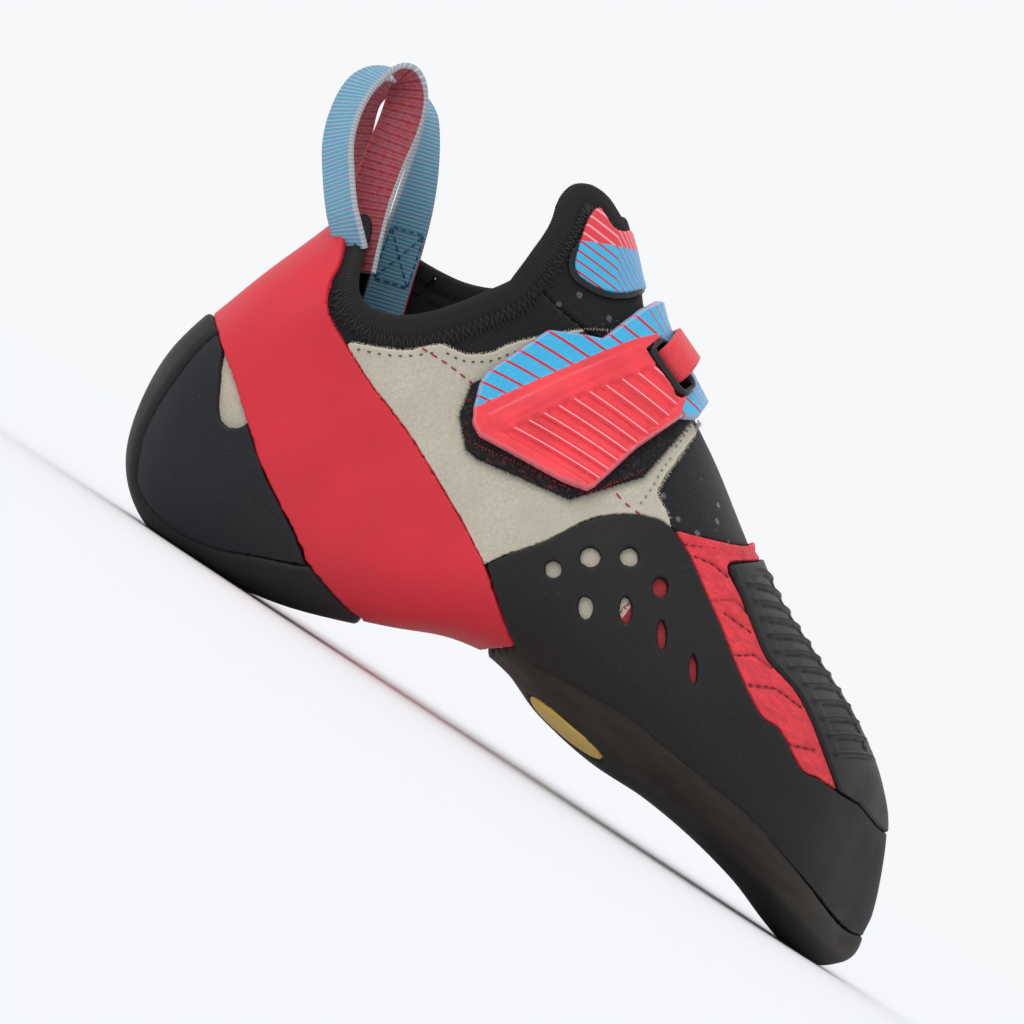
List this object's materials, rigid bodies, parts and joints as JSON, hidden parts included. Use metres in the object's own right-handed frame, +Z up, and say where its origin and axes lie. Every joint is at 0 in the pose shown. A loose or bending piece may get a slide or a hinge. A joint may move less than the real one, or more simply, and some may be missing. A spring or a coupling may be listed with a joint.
{
  "type": "climbing shoe",
  "caption": "Downturned climbing shoe for the right foot: stretch sock upper, suede sides, rubber band, rand and half sole, one fastened strap and two pull loops.",
  "frame": {"origin": "middle of the bounding box, on the floor under the sole", "axes": "+X from heel to toe, +Y towards the medial side, +Z up"},
  "size_m": [0.232, 0.0818, 0.133],
  "materials": {
    "knit": "matte stretch knit",
    "print": "printed film on stretch knit",
    "tape": "ribbed elastic tape",
    "board": "fabric-covered board",
    "suede": "napped suede",
    "microfibre": "grained microfibre",
    "rubber": "moulded matte rubber",
    "sole_rubber": "smooth rubber with sanded edges",
    "inset": "plain moulded oval",
    "red_rubber": "satin rubber",
    "cup_rubber": "matte rubber",
    "hooks": "loop fastener",
    "moulded": "satin moulded plate",
    "liner": "smooth plastic",
    "red_suede": "napped microfibre",
    "webbing": "ribbed webbing"
  },
  "bodies": {
    "root": {"upper": "knit", "tongue": "knit", "tongue_patch": "print", "collar_binding": "tape", "insole": "board", "quarter_lateral": "suede", "quarter_medial": "suede", "vamp": "microfibre", "toe_rand": "rubber", "toe_patch": "rubber", "outsole": "sole_rubber", "sole_inset": "inset", "tension_band": "red_rubber", "heel_cup_lateral": "cup_rubber", "heel_cup_medial": "cup_rubber", "heel_strip": "sole_rubber", "hook_pad": "hooks", "strap": "moulded", "slot_rim": "liner", "keeper_loop": "red_suede", "pull_loop_lateral": "webbing", "pull_loop_medial": "webbing"}
  },
  "joints": []
}
